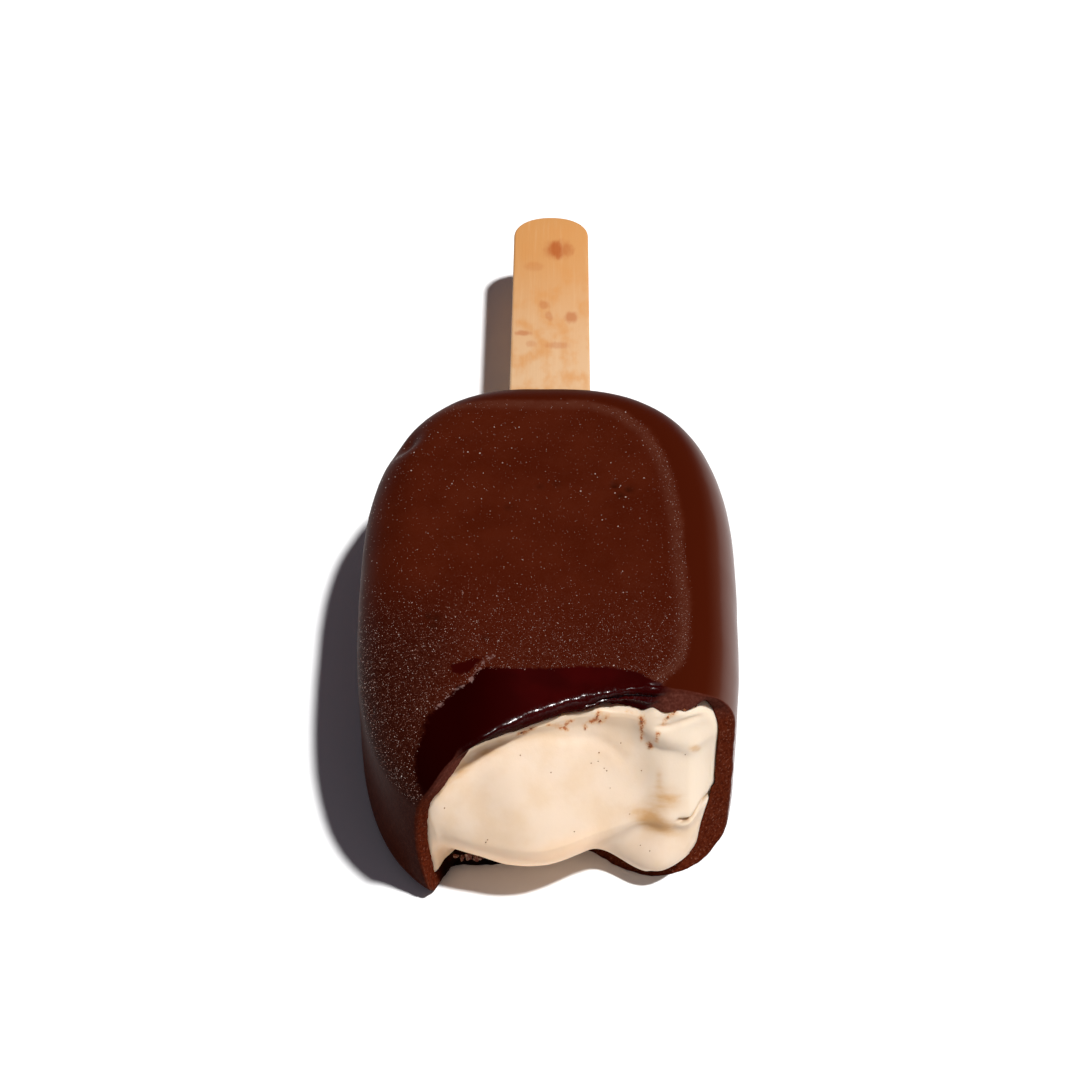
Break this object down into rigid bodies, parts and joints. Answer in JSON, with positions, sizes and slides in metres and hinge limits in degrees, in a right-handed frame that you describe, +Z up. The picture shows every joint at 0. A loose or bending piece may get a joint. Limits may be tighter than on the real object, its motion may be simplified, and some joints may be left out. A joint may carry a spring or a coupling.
{
  "type": "ice cream bar",
  "caption": "Ice cream bar lying flat: a rounded block of vanilla ice cream in a thin chocolate coat on a flat wooden stick, bitten off at the front end.",
  "frame": {"origin": "on the surface the bar lies on, under the middle of the whole object's bounding box", "axes": "+Y along the bar towards the stick's free end, -Y at the bitten end, +X across the bar, +Z up out of the bar's broad upper face"},
  "size_m": [0.0456, 0.1138, 0.0228],
  "materials": {
    "chocolate": "dark milk chocolate, satin with fine frost, glossy where it has melted",
    "vanilla": "pale cream ice cream, softly moist",
    "birch": "bare birch, fine grain along the stick"
  },
  "bodies": {
    "root": {"chocolate_coat": "chocolate", "ice_cream": "vanilla", "stick": "birch"}
  },
  "joints": []
}
